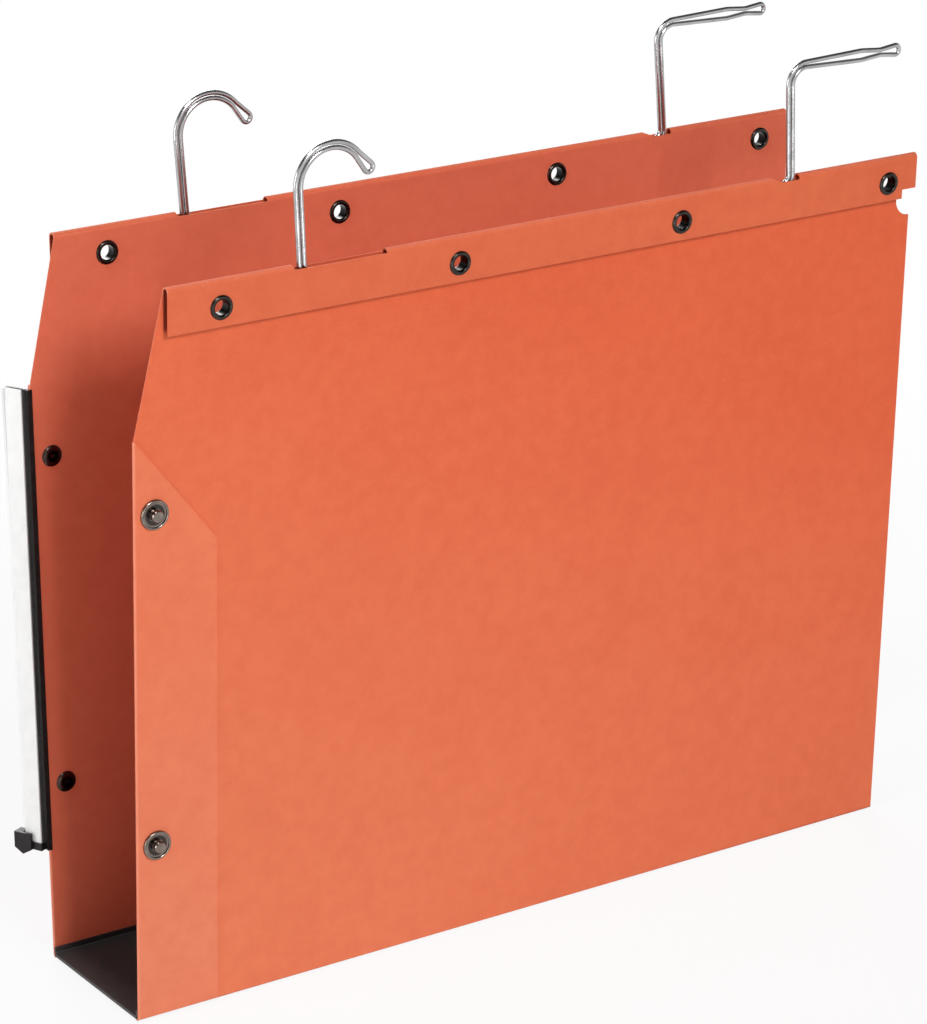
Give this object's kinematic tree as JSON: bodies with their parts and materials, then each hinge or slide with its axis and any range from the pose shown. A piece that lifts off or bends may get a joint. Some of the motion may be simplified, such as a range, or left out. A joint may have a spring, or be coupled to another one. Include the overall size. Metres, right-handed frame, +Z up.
{
  "type": "hanging file folder",
  "caption": "Open hanging file of creased card on a narrow black base, with wire hangers in its hemmed top edges ending in rail hooks, press studs and an edge label holder.",
  "frame": {"origin": "middle of the base, on the plane that the file stands on", "axes": "+X from the open front, with the label, to the rear; +Y from the near card to the far card; +Z up"},
  "size_m": [0.3491, 0.088, 0.3192],
  "materials": {
    "card": "matt kraft card",
    "base_black": "black coated card",
    "wire_nickel": "bright nickel wire",
    "eyelet_nickel": "nickel plate",
    "stud_nickel": "bright nickel plate",
    "post_nickel": "dark nickel plate",
    "holder_black": "matt black",
    "clear_sleeve": "clear",
    "label_paper": "matt paper"
  },
  "bodies": {
    "base": {"base_floor": "base_black", "near_foot_flap": "card", "far_foot_flap": "card"},
    "near_side": {"near_panel": "card", "near_base_lip": "base_black", "near_eyelet_1": "eyelet_nickel", "near_eyelet_2": "eyelet_nickel", "near_eyelet_3": "eyelet_nickel", "near_eyelet_4": "eyelet_nickel", "near_stud_post_upper": "post_nickel", "near_stud_post_lower": "post_nickel", "near_stud_upper": "stud_nickel", "near_stud_lower": "stud_nickel"},
    "far_side": {"far_panel": "card", "far_base_lip": "base_black", "far_eyelet_1": "eyelet_nickel", "far_eyelet_2": "eyelet_nickel", "far_eyelet_3": "eyelet_nickel", "far_eyelet_4": "eyelet_nickel", "far_stud_post_upper": "post_nickel", "far_stud_post_lower": "post_nickel", "far_socket_upper": "stud_nickel", "far_socket_lower": "stud_nickel", "far_socket_spring_upper": "post_nickel", "far_socket_spring_lower": "post_nickel", "label_carrier": "holder_black", "label_sleeve": "clear_sleeve", "label_foot": "holder_black"},
    "near_wire": {"near_hanger": "wire_nickel"},
    "far_wire": {"far_hanger": "wire_nickel"},
    "label_slip": {"label_insert": "label_paper"}
  },
  "joints": [
    {"name": "near_crease", "type": "hinge", "parent": "base", "child": "near_side", "pos_m": [0, -0.031, 0.00025], "axis": [1, 0, 0], "range_deg": [-6.5, 85]},
    {"name": "far_crease", "type": "hinge", "parent": "base", "child": "far_side", "pos_m": [0, 0.031, 0.00025], "axis": [-1, 0, 0], "range_deg": [-6.5, 85]},
    {"name": "near_hanger_swing", "type": "hinge", "parent": "near_side", "child": "near_wire", "pos_m": [0, -0.03964, 0.27092], "axis": [1, 0, 0], "range_deg": [-2, 2]},
    {"name": "far_hanger_swing", "type": "hinge", "parent": "far_side", "child": "far_wire", "pos_m": [0, 0.03964, 0.27092], "axis": [-1, 0, 0], "range_deg": [-2, 2]},
    {"name": "label_slide", "type": "slide", "parent": "far_side", "child": "label_slip", "axis": [0, 0.0262, 0.9997], "range_m": [0, 0.16]}
  ]
}
